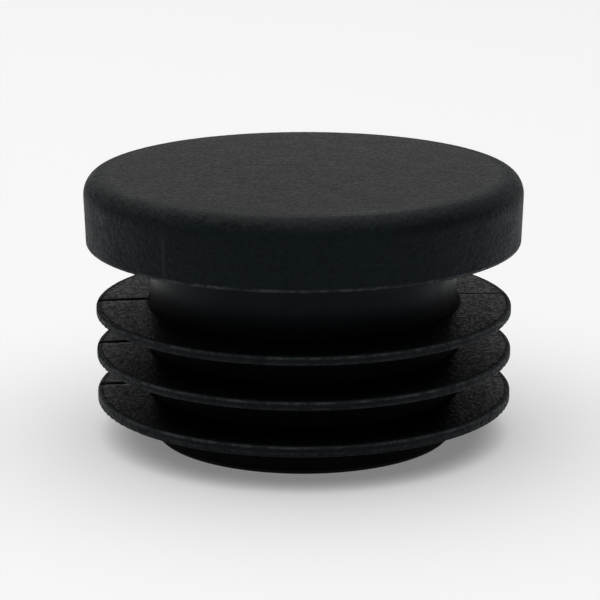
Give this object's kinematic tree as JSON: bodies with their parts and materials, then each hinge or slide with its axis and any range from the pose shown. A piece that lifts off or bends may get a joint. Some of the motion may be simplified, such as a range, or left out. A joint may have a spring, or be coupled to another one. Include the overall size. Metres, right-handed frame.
{
  "type": "tube end cap",
  "caption": "Round black plastic insert that closes the end of a round tube: thick head with a soft edge, hollow stem with thin flexible ribs.",
  "frame": {"origin": "on the axis, in the plane of the head's underside, where the end of the tube sits", "axes": "+Z along the axis, out of the tube through the head; the slit that splits the ribs lies at -X, and a hairline parting slit near +X"},
  "size_m": [0.025, 0.025, 0.0154],
  "materials": {
    "black_plastic": "matte black polyethylene with a fine moulded grain"
  },
  "bodies": {
    "root": {"end_cap": "black_plastic"}
  },
  "joints": []
}
